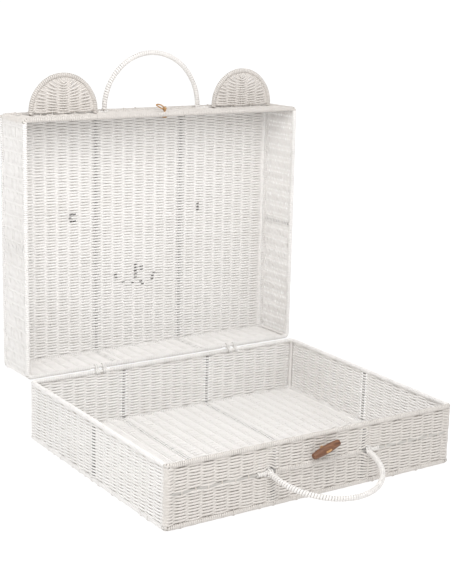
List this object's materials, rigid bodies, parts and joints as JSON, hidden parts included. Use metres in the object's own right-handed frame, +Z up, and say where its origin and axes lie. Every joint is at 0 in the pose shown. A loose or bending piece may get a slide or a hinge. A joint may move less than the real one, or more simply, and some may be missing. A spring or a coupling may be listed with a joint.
{
  "type": "wicker storage trunk",
  "caption": "Woven two-part trunk standing open on lashed hinges, with wrapped arched handles, round ears on the lid and a toggle closure.",
  "frame": {"origin": "centre of the base's underside, on the surface it stands on", "axes": "+X to the right seen from the front, -Y the front with handle and toggle, +Y the hinge side, +Z up"},
  "size_m": [0.42, 0.4941, 0.4881],
  "materials": {
    "painted_cane": "white paint, satin",
    "painted_wire": "thin white paint over steel wire",
    "handle_cane": "natural rattan, covered",
    "toggle_wood": "oiled, satin",
    "cord": "waxed cord",
    "thread": "matt yarn"
  },
  "bodies": {
    "base": {"base_back_weave": "painted_cane", "base_corner_bindings": "painted_cane", "base_corner_posts": "painted_wire", "base_edge_binding_long": "painted_cane", "base_edge_binding_sides": "painted_cane", "base_edge_wire": "painted_wire", "base_front_bar": "painted_wire", "base_front_bar_binding": "painted_cane", "base_front_weave": "painted_cane", "base_left_weave": "painted_cane", "base_panel_rods": "painted_wire", "base_panel_weave": "painted_cane", "base_right_weave": "painted_cane", "base_rim_binding_back": "painted_cane", "base_rim_binding_front": "painted_cane", "base_rim_binding_sides": "painted_cane", "base_rim_wire": "painted_wire", "base_wall_posts": "painted_wire", "hinge_base_coils": "painted_cane", "hinge_cores": "handle_cane"},
    "lid": {"lid_back_weave": "painted_cane", "lid_corner_bindings": "painted_cane", "lid_corner_posts": "painted_wire", "lid_edge_binding_long": "painted_cane", "lid_edge_binding_sides": "painted_cane", "lid_edge_wire": "painted_wire", "lid_front_bar": "painted_wire", "lid_front_bar_binding": "painted_cane", "lid_front_weave": "painted_cane", "lid_left_weave": "painted_cane", "lid_loop_stitch": "cord", "lid_panel_rods": "painted_wire", "lid_panel_weave": "painted_cane", "lid_right_weave": "painted_cane", "lid_rim_binding_back": "painted_cane", "lid_rim_binding_front": "painted_cane", "lid_rim_binding_sides": "painted_cane", "lid_rim_wire": "painted_wire", "lid_wall_posts": "painted_wire", "face_eyes": "thread", "face_mouth": "thread", "face_nose": "thread", "left_ear_binding": "painted_cane", "left_ear_hoop": "painted_wire", "left_ear_weave": "painted_cane", "right_ear_binding": "painted_cane", "right_ear_hoop": "painted_wire", "right_ear_weave": "painted_cane", "hinge_lid_coils": "painted_cane"},
    "base_handle": {"base_handle_feet": "painted_cane", "base_handle_rod": "handle_cane", "base_handle_wrap": "painted_cane"},
    "lid_handle": {"lid_handle_feet": "painted_cane", "lid_handle_rod": "handle_cane", "lid_handle_wrap": "painted_cane"},
    "toggle": {"toggle": "toggle_wood", "toggle_cord": "cord"},
    "lid_loop": {"lid_loop": "cord"}
  },
  "joints": [
    {"name": "lid_hinge", "type": "hinge", "parent": "base", "child": "lid", "pos_m": [0, 0.169, 0.0748], "axis": [1, 0, 0], "range_deg": [0, 91]},
    {"name": "base_handle_turn", "type": "hinge", "parent": "base", "child": "base_handle", "pos_m": [0.0032, -0.1648, 0.042], "axis": [1, 0, 0], "range_deg": [-40, 13]},
    {"name": "lid_handle_turn", "type": "hinge", "parent": "lid", "child": "lid_handle", "pos_m": [0.0032, 0.23022, 0.40758], "axis": [1, 0, 0], "range_deg": [-27, 27]},
    {"name": "toggle_swivel", "type": "hinge", "parent": "base", "child": "toggle", "pos_m": [0.0042, -0.1705, 0.0594], "axis": [0, 1, 0], "range_deg": [-45, 75]},
    {"name": "loop_swing", "type": "hinge", "parent": "lid", "child": "lid_loop", "pos_m": [0, 0.19193, 0.41425], "axis": [1, 0, 0], "range_deg": [-10, 120]}
  ]
}
